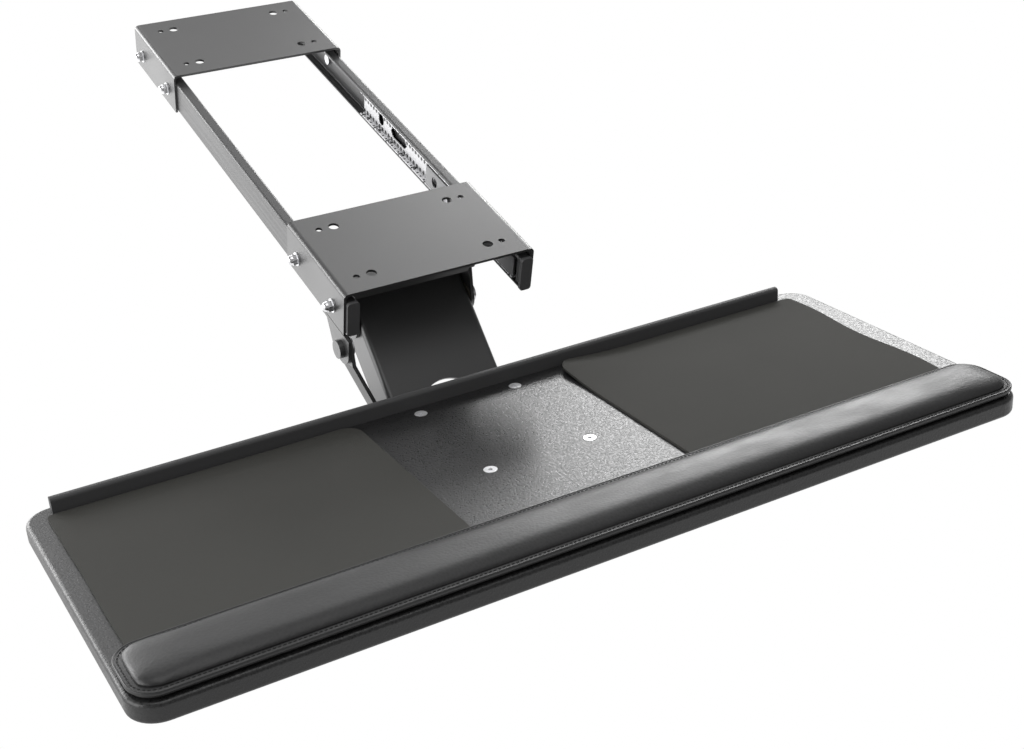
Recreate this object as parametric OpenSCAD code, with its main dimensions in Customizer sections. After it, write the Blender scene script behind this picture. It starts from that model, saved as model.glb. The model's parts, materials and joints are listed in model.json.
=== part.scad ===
// Keyboard tray that hangs under a desk on a pair of ball-bearing slides.
// X runs to the right, Y to the rear, Z up; the desk's underside is the plane Z = 0.
// The origin is the middle of the front bracket's top face.

/* [Desk brackets] */
// Width over the flanges
bracket_w = 156; // [130:1:200]
// Depth of one bracket, front to back
bracket_d = 102; // [90:1:120]
// Distance between the two brackets' centres
bracket_pitch = 348; // [320:1:420]
// Sheet thickness of the brackets
bracket_t = 2; // [1.5:0.1:3]
// Height of the turned-down flanges
flange_h = 35; // [33:0.5:45]
// Outside radius of the bends
bend_r = 4; // [3:0.5:6]
// Diameter of the outer screw holes
screw_hole_d = 5; // [4:0.5:6]
// Spacing of the outer screw holes across the bracket
screw_span = 120; // [112:1:126]
// Diameter of the inner relief holes
relief_hole_d = 8; // [7:0.5:9]
// Spacing of the inner relief holes across the bracket
relief_span = 96; // [90:1:98]
// Spacing of both hole rows front to back
hole_rows = 66; // [60:1:76]

/* [Slides] */
// Height of the outer channel
channel_h = 27; // [26:0.5:29]
// Width of the outer channel, web to mouth
channel_w = 9; // [8.9:0.1:11]
// Sheet thickness of the slide members
channel_t = 1.2; // [1:0.1:1.4]
// Space between the desk and the channel's top
channel_top_gap = 7.5; // [6:0.5:9]
// Outside radius of the channel's bends
channel_r = 2; // [1.6:0.1:2.2]
// Depth of the channel's returned lips
lip_d = 1.2; // [0.8:0.1:1.2]
// Diameter of the bearing balls
ball_d = 3.2; // [2.8:0.1:3.4]
// Balls in one row of a cage
ball_count = 12; // [8:1:14]
// Running gap at the balls and between sliding members
run_gap = 0.3; // [0.3:0.05:0.5]
// Sheet thickness of the ball cages
cage_t = 0.8; // [0.6:0.1:1]
// Length of the inner rails
inner_len = 146; // [130:1:150]
// How far the carriage slides in
slide_travel = 150; // [100:1:150]
// Thickness of the end caps in front of the channels
cap_t = 3; // [2:0.5:8]

/* [Side bolts] */
// Diameter of the bolts through flange and channel
bolt_d = 4.8; // [4:0.1:5]
// Spacing of one bracket's bolts front to back
bolt_span = 64; // [56:1:70]
// Height of the bolt heads inside the channel
bolt_head_h = 2; // [1.6:0.1:2.2]
// Diameter of the bolt heads
bolt_head_d = 9; // [8:0.5:10]

/* [Carriage] */
// Sheet thickness of carriage, clevis and arm
carriage_t = 2.5; // [2:0.1:3]
// Depth of the carriage plate
carriage_d = 68; // [60:1:76]
// Length of the side strips behind the plate
strip_len = 37; // [25:1:40]
// Width of the side strips
strip_w = 20; // [16:1:24]
// Length of the strips behind the turned-up legs
leg_short = 27; // [20:1:30]
// Height of the turned-up legs above the plate's underside
leg_h = 24; // [22:0.5:26]
// Stay pivot in front of the front bracket's middle
ear_y = -48; // [-52:0.5:-44]
// Stay pivot below the desk
ear_z = -49; // [-53:0.5:-48]
// Radius of the ear around the stay pivot
ear_r = 12; // [10:0.5:13]

/* [Arm] */
// Arm pivot in front of the front bracket's middle
arm_y = -4; // [-8:0.5:0]
// Arm pivot below the desk
arm_z = -65; // [-70:0.5:-64]
// Slope of the arm below level, as photographed
arm_slope = 33.5; // [30:0.5:36]
// Distance between the arm's two pivots
arm_len = 116; // [112:1:124]
// Width over the arm's flanges
arm_w = 95; // [80:1:100]
// Height of the arm's top above its pivots
arm_rise = 10; // [9:0.5:12]
// Depth of the arm's flanges
arm_depth = 30; // [24:0.5:32]
// Length of the arm's top behind its upper pivot
arm_back = 20; // [14:0.5:20]
// Diameter of the round opening in the arm
arm_hole_d = 50; // [30:1:54]
// Distance of the round opening's centre from the upper pivot
arm_hole_reach = 89; // [80:0.5:92]
// Diameter of the pivot pins
pivot_d = 7.9; // [6:0.1:9]
// Radial running clearance of the pivot pins
pivot_gap = 0.05; // [0.03:0.01:0.08]
// Gap beside the arm for the friction washers
washer_gap = 0.5; // [0.5:0.05:0.8]

/* [Height stay] */
// Distance of the stay's stud from the arm pivot
stud_reach = 83; // [80:1:86]
// Diameter of the stud
stud_d = 6; // [5:0.5:6.5]
// Width of the slot in the stay
slot_w = 8.4; // [8:0.1:9]
// Length of the slot between its end centres
slot_len = 24; // [22:0.5:26]
// Width of the stay
stay_w = 18; // [16:0.5:20]
// Thickness of the stay
stay_t = 3; // [2.5:0.1:3.5]
// Distance between the arm's flank and the stay's lower end
stay_offset = 10; // [8:0.5:14]

/* [Tray] */
// Width of the board
board_w = 650; // [600:1:720]
// Depth of the board
board_d = 255; // [250:1:280]
// Thickness of the board
board_t = 14; // [12:0.5:16]
// Corner radius of the board
board_r = 20; // [15:1:40]
// Radius of the board's rounded edges
board_edge = 3; // [2:0.5:4]
// Upward tilt of the tray's front, as photographed
tray_tilt = 16; // [14:0.5:18]
// Tilt pivot in front of the board's rear edge
tilt_back = 9.2; // [8:0.2:12]
// Tilt pivot below the board's top
tilt_drop = 44.4; // [43:0.2:50]
// Distance of the board screws inside the arm's sides
board_screw_in = 8; // [5.2:0.1:10]
// Spacing of the board screws front to back
board_screw_y = 105; // [90:1:110]
// Rear board screws in front of the board's rear edge
board_screw_back = 24; // [22:1:34]
// Width of the rear lip
lip_w = 602; // [500:1:606]
// Offset of the rear lip from the board's middle
lip_shift = -4.5; // [-6:0.5:6]
// Depth of the rear lip
rear_lip_d = 6.5; // [6:0.5:8]
// Height of the rear lip
rear_lip_h = 11.5; // [8:0.5:16]
// Distance of the rear lip from the board's rear edge
rear_lip_back = 6.5; // [5:0.5:8]

/* [Pads and wrist rest] */
// Width of one side pad
pad_w = 222; // [180:1:230]
// Gap between the side pads and the rear lip
pad_gap = 3; // [2:0.5:20]
// Thickness of the side pads
pad_t = 2; // [1.5:0.5:3]
// Distance of the pads from the board's sides
pad_side = 15; // [10:1:20]
// Offset of the right pad towards the board's middle
right_pad_in = 8; // [0:1:10]
// Radius of the pads' rounded corner
pad_r = 14; // [6:1:25]
// Length of the wrist rest
rest_w = 646; // [560:1:648]
// Depth of the wrist rest
rest_d = 56; // [50:1:61]
// Height of the wrist rest's padding
rest_h = 9; // [8:0.5:16]
// Thickness of the wrist rest's stiff base
rest_base_t = 3.6; // [2:0.1:5]
// Corner radius of the wrist rest
rest_r = 18; // [12:1:27]
// Width of the sewn hem round the padding
rest_hem_w = 3; // [2:0.1:7]
// Thickness of the sewn hem
rest_hem_t = 2.4; // [1.6:0.1:3.5]
// Depth of the sewn channel beside the hem
rest_stitch_d = 0.9; // [0.4:0.1:1.4]
// Width of the padding's rounded shoulders
rest_round = 16; // [8:0.5:17]

/* [Hidden] */
$fn = 48;

// Slide section, measured from the desk and from the middle plane
flange_in = bracket_w / 2 - bracket_t;
mouth_x = flange_in - channel_w;
web_x = flange_in - channel_t;
channel_top = -channel_top_gap;
channel_bot = channel_top - channel_h;
channel_mid = channel_top - channel_h / 2;
slide_front = -bracket_d / 2;
slide_len = bracket_pitch + bracket_d;
bolt_hole_d = bolt_d + 0.6;
bolt_ys = [-bolt_span / 2, bolt_span / 2, bracket_pitch - bolt_span / 2, bracket_pitch + bolt_span / 2];

// Ball rows, cages and inner rails
ball_rise = channel_h / 2 - channel_t - run_gap - ball_d / 2;
cage_web_x = web_x - bolt_head_h - 2 * run_gap;
cage_arm_w = ball_d + 2 * cage_t;
ball_x = cage_web_x - cage_t - 0.1 - ball_d / 2;
ball_hole_d = ball_d + 0.2;
cage_front = slide_front + 11;
cage_clear = 4.5;
cage_len = bracket_pitch - bolt_span / 2 - bolt_head_d / 2 - cage_clear - cage_front - slide_travel / 2;
ball_pitch = cage_len / ball_count;
inner_h = 2 * (ball_rise - ball_d / 2 - run_gap);
inner_x = mouth_x - run_gap;
inner_edge_x = cage_web_x - cage_t - 0.7;
inner_front = slide_front + 9;
inner_hole_d = inner_h * 0.53;
window_w = 9;
window_len = 22;
round_window_d = 10;
round_window_in = 34;
long_window_in = 68;
cap_w = channel_w + 0.5;
cap_h = channel_h + 1.4;
cap_round = 2.5;
plug_len = 7;
plug_gap = 0.4;

// Carriage
plate_top = channel_bot - 1;
plate_bot = plate_top - carriage_t;
plate_front = arm_y - 4;
plate_rear = plate_front + carriage_d;
strip_rear = plate_rear + strip_len;
leg_x = inner_x - carriage_t;
plate_chamfer = 14;
leg_front = plate_front + plate_chamfer + 2;
leg_rear = strip_rear - leg_short;
strip_round = 10;
ear_x = -bracket_w / 2;
ear_len = 28;
ear_rear = ear_y + ear_len;
outrigger_rear = ear_rear + 6;
outrigger_front = ear_y + 4;
outrigger_d = 36;
rivet_d = 4;
rivet_head_d = 7;
rivet_head_h = 1.4;
rivet_in = 8;
rivet_step = 26;
rivet_ys = [leg_front + rivet_in, leg_front + rivet_in + rivet_step, leg_rear - rivet_in];

// Clevis and pivot pins
cheek_in = arm_w / 2 + washer_gap;
cheek_out = cheek_in + carriage_t;
cheek_r = 12;
clevis_len = 25;
clevis_rear = plate_front + clevis_len;
pivot_bore = pivot_d + 2 * pivot_gap;
pin_head_d = 14;
pin_head_h = 4;
pin_nut_d = 15;
pin_nut_h = 6;
nut_gap = 0.1;
washer_t = washer_gap - 0.1;
washer_d = 20;

// Arm in its own frame: the pivots lie on the Y axis, the arm runs towards -Y
arm_end = 12;
arm_r = arm_depth / 2;
arm_chamfer = 10;
arm_bend_r = 4;

// Stay, from the ear's pivot to the stud on the arm
stud_y = arm_y - stud_reach * cos(arm_slope);
stud_z = arm_z - stud_reach * sin(arm_slope);
stay_reach = norm([stud_y - ear_y, stud_z - ear_z]);
stay_angle = atan2(stud_y - ear_y, ear_z - stud_z);
stay_out = ear_x + carriage_t + run_gap;
stay_low = -arm_w / 2 - stay_offset - stay_t;
slot_top = stay_reach - 1.4;
stay_end = slot_top + slot_len;
bend_top = stay_w / 2 + 4;
bend_low = slot_top - slot_w / 2 - 8;
stud_head_d = 12;
stud_head_h = 3;
sleeve_d = 10;
stud_nut_d = 12;
stud_nut_h = 5;
stud_washer_d = 15;
stud_washer_t = 1.2;

// Tray in its own frame: X from the middle, Y from the front edge, Z from the board's top
tilt_y = arm_y - arm_len * cos(arm_slope);
tilt_z = arm_z - arm_len * sin(arm_slope);
tilt_from_front = board_d - tilt_back;
rear_screw_y = board_d - board_screw_back;
front_screw_y = rear_screw_y - board_screw_y;
board_screw_x = arm_w - 2 * board_screw_in;
hanger_over = 14;
hanger_front = front_screw_y - hanger_over;
hanger_rear = board_d - 6;
hanger_r = 13;
hanger_foot = 42;
board_screw_d = 4.8;
board_screw_head = 9.6;
board_socket_d = 3.4;
board_socket_h = 1.6;
board_nut_d = 9.2;
board_nut_h = 4;
lip_front = board_d - rear_lip_back - rear_lip_d;
lip_round = 2.5;
lip_screw_d = 3.4;
lip_screw_head = 7;
lip_screw_depth = 6;
lip_screw_xs = [for (k = [-0.44, -0.15, 0.15, 0.44]) lip_shift + k * lip_w];
rest_front = 1.5;
rest_rear = rest_front + rest_d;
rest_base_in = 4;
pad_front = rest_rear + 0.4;
pad_d = lip_front - pad_gap - pad_front;
pad_x = board_w / 2 - pad_side - pad_w / 2;

// Wrist rest section from the hem's edge inwards: inset from the edge, height above the base
hem_edge = 0.8;
rest_crown = 0.8;
stitch_in = rest_hem_w + 0.9;
dome_in = rest_hem_w + 1.8;
dome_rise = rest_h - rest_hem_t - rest_crown;
dome_bulge = 0.7;
ridge_half = 2;
ridge_r = 1;
corner_steps = 7;
rest_section = concat(
    [[hem_edge, 0], [0, hem_edge], [0, rest_hem_t - hem_edge], [hem_edge, rest_hem_t]],
    [[rest_hem_w, rest_hem_t], [stitch_in, rest_hem_t - rest_stitch_d]],
    [for (a = [0:15:90]) [
        dome_in + rest_round * (1 - cos(a)) - dome_bulge * sin(2 * a),
        rest_hem_t + dome_rise * sin(a)
    ]],
    [[rest_d / 2 - ridge_half, rest_h]]
);

// Shared helpers

// Keeps a shape on the right-hand side, or mirrors it to the left
module on_side(side) {
    if (side < 0) {
        mirror([1, 0, 0]) children();
    } else {
        children();
    }
}

// Runs an X-Z profile along Y
module along_y(y_from, y_len) {
    translate([0, y_from + y_len, 0]) rotate([90, 0, 0]) linear_extrude(y_len) children();
}

// Runs a Y-Z profile along X
module along_x(x_from, x_len) {
    translate([x_from, 0, 0]) rotate([90, 0, 90]) linear_extrude(x_len) children();
}

// Round bar along X
module x_bar(d, x_from, x_to, y, z) {
    translate([x_from, y, z]) rotate([0, 90, 0]) cylinder(d = d, h = x_to - x_from);
}

// Hexagonal bar along X
module x_hex(d, x_from, x_to, y, z) {
    translate([x_from, y, z]) rotate([0, 90, 0]) cylinder(d = d, h = x_to - x_from, $fn = 6);
}

// Rectangle hanging from Z = 0 with two rounded upper corners
module round_top(w, h, r) {
    translate([-w / 2, -h]) square([w, h - r]);
    translate([-w / 2 + r, -h]) square([w - 2 * r, h]);
    for (s = [-1, 1]) {
        translate([s * (w / 2 - r), -r]) circle(r = r);
    }
}

// Centred rectangle with four rounded corners
module round_rect(w, d, r) {
    square([w - 2 * r, d], center = true);
    square([w, d - 2 * r], center = true);
    for (sx = [-1, 1], sy = [-1, 1]) {
        translate([sx * (w / 2 - r), sy * (d / 2 - r)]) circle(r = r);
    }
}

// Straight slot along Y between two end centres
module slot_2d(w, y_from, y_to) {
    translate([-w / 2, y_from]) square([w, y_to - y_from]);
    for (y = [y_from, y_to]) {
        translate([0, y]) circle(d = w);
    }
}

module arm_frame() {
    translate([0, arm_y, arm_z]) rotate([arm_slope, 0, 0]) children();
}

module stay_frame() {
    translate([0, ear_y, ear_z]) rotate([stay_angle, 0, 0]) children();
}

module tray_frame() {
    translate([0, tilt_y, tilt_z]) rotate([-tray_tilt, 0, 0]) {
        translate([0, -tilt_from_front, tilt_drop]) children();
    }
}

// Desk frame

module desk_bracket() {
    difference() {
        along_y(-bracket_d / 2, bracket_d) {
            difference() {
                round_top(bracket_w, flange_h, bend_r);
                translate([0, -bracket_t]) round_top(2 * flange_in, flange_h, bend_r - bracket_t);
            }
        }
        for (sx = [-1, 1], sy = [-1, 1]) {
            translate([sx * screw_span / 2, sy * hole_rows / 2, -2 * bracket_t]) {
                cylinder(d = screw_hole_d, h = 3 * bracket_t);
            }
            translate([sx * relief_span / 2, sy * hole_rows / 2, -2 * bracket_t]) {
                cylinder(d = relief_hole_d, h = 3 * bracket_t);
            }
        }
        for (y = [-bolt_span / 2, bolt_span / 2]) {
            x_bar(bolt_hole_d, -bracket_w, bracket_w, y, channel_mid);
        }
    }
}

module front_bracket() {
    color([0.2, 0.2, 0.21]) desk_bracket();
}

module rear_bracket() {
    color([0.2, 0.2, 0.21]) translate([0, bracket_pitch, 0]) desk_bracket();
}

module channel_profile() {
    mouth_h = channel_h - 2 * (channel_t + lip_d);
    translate([flange_in - channel_w / 2, channel_mid]) difference() {
        round_rect(channel_w, channel_h, channel_r);
        round_rect(channel_w - 2 * channel_t, channel_h - 2 * channel_t, channel_r - channel_t);
        translate([-channel_w, -mouth_h / 2]) square([channel_w, mouth_h]);
    }
}

module channel_rail() {
    difference() {
        along_y(slide_front, slide_len) channel_profile();
        for (y = bolt_ys) {
            x_bar(bolt_hole_d, web_x - 1, flange_in + 1, y, channel_mid);
        }
    }
}

module left_channel() {
    color([0.24, 0.24, 0.25]) on_side(-1) channel_rail();
}

module right_channel() {
    color([0.24, 0.24, 0.25]) on_side(1) channel_rail();
}

module end_cap() {
    translate([flange_in - channel_w / 2, 0, channel_mid]) {
        along_y(slide_front - cap_t, cap_t) round_rect(cap_w, cap_h, cap_round);
    }
    translate([mouth_x + channel_t + plug_gap, slide_front - 1, channel_bot + channel_t + plug_gap]) {
        cube([channel_w - 2 * (channel_t + plug_gap), plug_len + 1, channel_h - 2 * (channel_t + plug_gap)]);
    }
}

module channel_end_caps() {
    color([0.13, 0.13, 0.13]) {
        for (s = [-1, 1]) {
            on_side(s) end_cap();
        }
    }
}

module side_bolts() {
    color([0.7, 0.7, 0.72]) {
        for (s = [-1, 1], y = bolt_ys) {
            on_side(s) {
                x_bar(bolt_head_d, web_x - bolt_head_h, web_x, y, channel_mid);
                x_bar(bolt_d, web_x - 1, bracket_w / 2 + 6, y, channel_mid);
            }
        }
    }
}

module side_washers() {
    color([0.75, 0.75, 0.77]) {
        for (s = [-1, 1], y = bolt_ys) {
            on_side(s) {
                difference() {
                    x_bar(bolt_head_d + 1.5, bracket_w / 2, bracket_w / 2 + 1, y, channel_mid);
                    x_bar(bolt_hole_d, bracket_w / 2 - 1, bracket_w / 2 + 2, y, channel_mid);
                }
            }
        }
    }
}

module dome_nut() {
    difference() {
        union() {
            x_hex(bolt_head_d, 0, 3.5, 0, 0);
            intersection() {
                translate([3.5, 0, 0]) sphere(d = bolt_head_d * 0.86);
                x_bar(bolt_head_d, 0, bolt_head_d, 0, 0);
            }
        }
        x_bar(bolt_d + 0.2, -1, 5.4, 0, 0);
    }
}

module dome_nuts() {
    color([0.85, 0.85, 0.87]) {
        for (s = [-1, 1], y = bolt_ys) {
            on_side(s) translate([bracket_w / 2 + 1, y, channel_mid]) dome_nut();
        }
    }
}

// Ball cages

module cage_strip() {
    difference() {
        union() {
            translate([cage_web_x - cage_t, cage_front, channel_mid - ball_rise - cage_t / 2]) {
                cube([cage_t, cage_len, 2 * ball_rise + cage_t]);
            }
            for (s = [-1, 1]) {
                translate([cage_web_x - cage_arm_w, cage_front, channel_mid + s * ball_rise - cage_t / 2]) {
                    cube([cage_arm_w, cage_len, cage_t]);
                }
            }
        }
        for (i = [0:ball_count - 1], s = [-1, 1]) {
            translate([ball_x, cage_front + (i + 0.5) * ball_pitch, channel_mid + s * ball_rise - cage_t]) {
                cylinder(d = ball_hole_d, h = 2 * cage_t);
            }
        }
        x_bar(round_window_d, mouth_x, flange_in, cage_front + cage_len - round_window_in, channel_mid);
        along_x(mouth_x, channel_w) {
            translate([cage_front + cage_len - long_window_in, channel_mid]) {
                square([window_len, window_w], center = true);
                for (s = [-1, 1]) {
                    translate([s * window_len / 2, 0]) rotate([0, 0, 45]) {
                        square(window_w / sqrt(2), center = true);
                    }
                }
            }
        }
    }
}

module ball_rows() {
    for (i = [0:ball_count - 1], s = [-1, 1]) {
        translate([ball_x, cage_front + (i + 0.5) * ball_pitch, channel_mid + s * ball_rise]) {
            sphere(d = ball_d);
        }
    }
}

module left_cage() {
    color([0.78, 0.78, 0.76]) on_side(-1) cage_strip();
}

module right_cage() {
    color([0.78, 0.78, 0.76]) on_side(1) cage_strip();
}

module left_balls() {
    color([0.6, 0.6, 0.62]) on_side(-1) ball_rows();
}

module right_balls() {
    color([0.6, 0.6, 0.62]) on_side(1) ball_rows();
}

// Carriage

module inner_rail() {
    difference() {
        along_y(inner_front, inner_len) {
            translate([inner_x, channel_mid - inner_h / 2]) square([channel_t, inner_h]);
            for (z = [channel_mid - inner_h / 2, channel_mid + inner_h / 2 - channel_t]) {
                translate([inner_x, z]) square([inner_edge_x - inner_x, channel_t]);
            }
        }
        x_bar(inner_hole_d, leg_x, inner_x + 2 * channel_t, inner_front + inner_len - 15, channel_mid);
        for (y = rivet_ys) {
            x_bar(rivet_d + 0.2, leg_x, inner_x + 2 * channel_t, y, channel_mid);
        }
    }
}

module left_inner_rail() {
    color([0.5, 0.5, 0.5]) on_side(-1) inner_rail();
}

module right_inner_rail() {
    color([0.5, 0.5, 0.5]) on_side(1) inner_rail();
}

module plate_outline() {
    difference() {
        translate([-inner_x, plate_front]) square([2 * inner_x, carriage_d + strip_len]);
        for (s = [-1, 1]) {
            translate([s * inner_x, plate_front]) rotate([0, 0, 45]) {
                square(plate_chamfer * sqrt(2), center = true);
            }
        }
        translate([-inner_x + strip_w + strip_round, plate_rear]) {
            square([2 * (inner_x - strip_w - strip_round), strip_len + 1]);
        }
        translate([-inner_x + strip_w, plate_rear + strip_round]) {
            square([2 * (inner_x - strip_w), strip_len]);
        }
        for (s = [-1, 1]) {
            translate([s * (inner_x - strip_w - strip_round), plate_rear + strip_round]) circle(r = strip_round);
        }
    }
}

module ear_outline() {
    translate([ear_y, ear_z]) circle(r = ear_r);
    polygon([
        [ear_rear, plate_top],
        [ear_y - ear_r, plate_top],
        [ear_y - ear_r, ear_z],
        [ear_y, ear_z - ear_r * 0.8],
        [ear_y + ear_r * 1.3, ear_z - ear_r * 0.35]
    ]);
}

module carriage_plate() {
    color([0.16, 0.16, 0.17]) difference() {
        union() {
            translate([0, 0, plate_bot]) linear_extrude(carriage_t) {
                plate_outline();
                polygon([
                    [-cheek_out, plate_front + outrigger_d],
                    [ear_x, outrigger_rear],
                    [ear_x, outrigger_front],
                    [-mouth_x, outrigger_front],
                    [-cheek_out, plate_front]
                ]);
            }
            for (s = [-1, 1]) {
                on_side(s) translate([leg_x, leg_front, plate_bot]) {
                    cube([carriage_t, leg_rear - leg_front, leg_h]);
                }
            }
            along_x(ear_x, carriage_t) ear_outline();
        }
        x_bar(pivot_bore, ear_x - 1, ear_x + carriage_t + 1, ear_y, ear_z);
        for (s = [-1, 1], y = rivet_ys) {
            on_side(s) x_bar(rivet_d + 0.2, leg_x - 1, inner_x + 1, y, channel_mid);
        }
        clevis_rivet_holes();
    }
}

module rail_rivets() {
    color([0.62, 0.62, 0.63]) {
        for (s = [-1, 1], y = rivet_ys) {
            on_side(s) {
                x_bar(rivet_d, leg_x - rivet_head_h, inner_x + channel_t + 1, y, channel_mid);
                x_bar(rivet_head_d, leg_x - rivet_head_h, leg_x, y, channel_mid);
                x_bar(rivet_head_d - 1, inner_x + channel_t, inner_x + channel_t + 1, y, channel_mid);
            }
        }
    }
}

module clevis_rivet_places() {
    for (s = [-1, 1], k = [0.22, 0.72]) {
        translate([s * arm_w * k / 2, plate_front + 13, plate_bot]) children();
    }
}

module clevis_rivet_holes() {
    clevis_rivet_places() {
        translate([0, 0, -2 * carriage_t]) cylinder(d = rivet_d + 0.2, h = 4 * carriage_t);
    }
}

module clevis() {
    color([0.1, 0.1, 0.1]) difference() {
        union() {
            translate([-cheek_out, plate_front, plate_bot - carriage_t]) {
                cube([2 * cheek_out, clevis_rear - plate_front, carriage_t]);
            }
            for (s = [-1, 1]) {
                on_side(s) along_x(cheek_in, carriage_t) {
                    translate([arm_y, arm_z]) circle(r = cheek_r);
                    polygon([
                        [plate_front, plate_bot],
                        [arm_y - cheek_r, arm_z],
                        [arm_y + cheek_r, arm_z],
                        [clevis_rear, plate_bot]
                    ]);
                }
            }
        }
        x_bar(pivot_bore, -cheek_out - 1, cheek_out + 1, arm_y, arm_z);
        clevis_rivet_holes();
    }
}

module clevis_rivets() {
    color([0.62, 0.62, 0.63]) clevis_rivet_places() {
        translate([0, 0, -carriage_t - 1]) cylinder(d = rivet_d, h = 2 * carriage_t + 1 + rivet_head_h);
        translate([0, 0, carriage_t]) cylinder(d = rivet_head_d, h = rivet_head_h);
        translate([0, 0, -carriage_t - 1]) cylinder(d = rivet_head_d - 1, h = 1);
    }
}

module cross_pin(y, z) {
    x_bar(pivot_d, -cheek_out - pin_nut_h - nut_gap, cheek_out + 1, y, z);
    x_bar(pin_head_d, cheek_out + nut_gap, cheek_out + nut_gap + pin_head_h, y, z);
}

module cross_pin_nut(y, z) {
    difference() {
        x_hex(pin_nut_d, -cheek_out - nut_gap - pin_nut_h, -cheek_out - nut_gap, y, z);
        x_bar(pivot_bore, -cheek_out - 2 * pin_nut_h, -cheek_out, y, z);
    }
}

module friction_rings(y, z) {
    for (s = [-1, 1]) {
        on_side(s) difference() {
            x_bar(washer_d, arm_w / 2, arm_w / 2 + washer_t, y, z);
            x_bar(pivot_bore, arm_w / 2 - 1, arm_w / 2 + 1, y, z);
        }
    }
}

module arm_pin() {
    color([0.2, 0.2, 0.2]) cross_pin(arm_y, arm_z);
}

module arm_pin_nut() {
    color([0.6, 0.6, 0.62]) cross_pin_nut(arm_y, arm_z);
}

module stay_pin() {
    color([0.12, 0.12, 0.12]) {
        x_bar(pin_head_d, ear_x - pin_head_h, ear_x, ear_y, ear_z);
        x_bar(pivot_d, ear_x - 1, stay_out + stay_t + run_gap + 2.5, ear_y, ear_z);
    }
}

module stay_clip() {
    color([0.6, 0.6, 0.62]) difference() {
        x_bar(pin_head_d, stay_out + stay_t + run_gap, stay_out + stay_t + run_gap + 1.5, ear_y, ear_z);
        x_bar(pivot_bore, stay_out, stay_out + stay_t + 4, ear_y, ear_z);
    }
}

// Arm

module arm() {
    color([0.09, 0.09, 0.1]) arm_frame() difference() {
        intersection() {
            along_y(-arm_len - arm_end, arm_len + arm_end + arm_back) translate([0, arm_rise]) difference() {
                round_top(arm_w, arm_depth, arm_bend_r);
                translate([0, -carriage_t]) {
                    round_top(arm_w - 2 * carriage_t, arm_depth, arm_bend_r - carriage_t);
                }
            }
            along_x(-arm_w / 2, arm_w) {
                translate([arm_r - arm_len - arm_end, arm_rise - arm_r]) circle(r = arm_r);
                polygon([
                    [arm_r - arm_len - arm_end, arm_rise],
                    [arm_back, arm_rise],
                    [arm_back, arm_rise - arm_depth + arm_chamfer],
                    [arm_back - arm_chamfer, arm_rise - arm_depth],
                    [arm_r - arm_len - arm_end, arm_rise - arm_depth]
                ]);
            }
        }
        for (y = [0, -arm_len]) {
            x_bar(pivot_bore, -arm_w, arm_w, y, 0);
        }
        translate([0, -arm_hole_reach, arm_rise - 2 * carriage_t]) {
            cylinder(d = arm_hole_d, h = 3 * carriage_t);
        }
        x_bar(stud_d + 0.4, -arm_w, -arm_w / 2 + 2 * carriage_t, -stud_reach, 0);
    }
}

module arm_washers() {
    color([0.55, 0.5, 0.42]) friction_rings(arm_y, arm_z);
}

module stay_stud() {
    color([0.62, 0.62, 0.64]) arm_frame() {
        x_bar(stud_d, stay_low - 8, -arm_w / 2 + carriage_t + 1, -stud_reach, 0);
        x_hex(stud_head_d, -arm_w / 2 + carriage_t, -arm_w / 2 + carriage_t + stud_head_h, -stud_reach, 0);
    }
}

module stud_ring(d, x_from, x_to) {
    arm_frame() difference() {
        x_bar(d, x_from, x_to, -stud_reach, 0);
        x_bar(stud_d + 0.2, x_from - 1, x_to + 1, -stud_reach, 0);
    }
}

module stay_sleeve() {
    color([0.55, 0.55, 0.57]) stud_ring(sleeve_d, stay_low + stay_t + run_gap, -arm_w / 2);
}

module stay_washer() {
    color([0.7, 0.7, 0.72]) stud_ring(stud_washer_d, stay_low - run_gap - stud_washer_t, stay_low - run_gap);
}

module stay_nut() {
    color([0.66, 0.66, 0.68]) arm_frame() difference() {
        x_hex(stud_nut_d, stay_low - run_gap - stud_washer_t - stud_nut_h, stay_low - run_gap - stud_washer_t,
            -stud_reach, 0);
        x_bar(stud_d + 0.2, stay_low - 3 * stud_nut_h, stay_low, -stud_reach, 0);
    }
}

module tilt_pin() {
    color([0.2, 0.2, 0.2]) cross_pin(tilt_y, tilt_z);
}

module tilt_pin_nut() {
    color([0.6, 0.6, 0.62]) cross_pin_nut(tilt_y, tilt_z);
}

// Height stay: a joggled bar from the ear to the stud, with its slot at the lower end
module stay() {
    color([0.6, 0.6, 0.6]) stay_frame() difference() {
        intersection() {
            along_y(-stay_w / 2, stay_w) polygon([
                [stay_out, stay_w],
                [stay_out + stay_t, stay_w],
                [stay_out + stay_t, -bend_top],
                [stay_low + stay_t, -bend_low],
                [stay_low + stay_t, -stay_end - stay_w],
                [stay_low, -stay_end - stay_w],
                [stay_low, -bend_low],
                [stay_out, -bend_top]
            ]);
            along_x(stay_out, stay_low + stay_t - stay_out) slot_2d(stay_w, -stay_end, 0);
        }
        x_bar(pivot_bore, stay_out - 1, stay_out + stay_t + 1, 0, 0);
        along_x(stay_low - 1, stay_t + 2) slot_2d(slot_w, -stay_end, -slot_top);
    }
}

// Tray

module board_edge_profile(reach) {
    translate([0, -board_t]) square([reach - board_edge, board_t]);
    translate([0, -board_t + board_edge]) square([reach, board_t - 2 * board_edge]);
    for (z = [-board_edge, board_edge - board_t]) {
        translate([reach - board_edge, z]) circle(r = board_edge);
    }
}

module board_screw_places() {
    for (sx = [-1, 1], y = [front_screw_y, rear_screw_y]) {
        translate([sx * board_screw_x / 2, y, 0]) children();
    }
}

module lip_screw_places() {
    for (x = lip_screw_xs) {
        translate([x, lip_front + rear_lip_d / 2, 0]) children();
    }
}

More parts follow.
